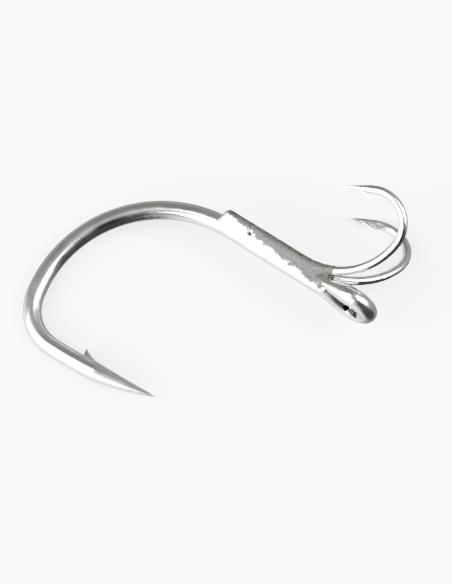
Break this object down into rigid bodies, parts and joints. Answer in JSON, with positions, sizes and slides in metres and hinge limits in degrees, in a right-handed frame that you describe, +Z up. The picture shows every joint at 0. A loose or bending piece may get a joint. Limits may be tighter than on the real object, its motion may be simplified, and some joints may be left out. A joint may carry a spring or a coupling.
{
  "type": "triple fishing hook",
  "caption": "Heavy eyed fishing hook with two lighter eyeless hooks brazed along its shank, facing the other way; all three are barbed.",
  "frame": {"origin": "middle of the bottom of the bounding box, with the hook lying at rest on a flat surface", "axes": "+Z up from the surface; +X along the longest side, with the eye and the two light points at +X; +Y towards the light hooks"},
  "size_m": [0.0588, 0.034, 0.0189],
  "materials": {
    "plated_steel": "bright tinned steel wire",
    "braze": "lumpy silver-grey filler metal, partly matt"
  },
  "bodies": {
    "root": {"large_hook": "plated_steel", "small_hook_left": "plated_steel", "small_hook_right": "plated_steel", "shank_braze": "braze", "eye_braze": "braze"}
  },
  "joints": []
}
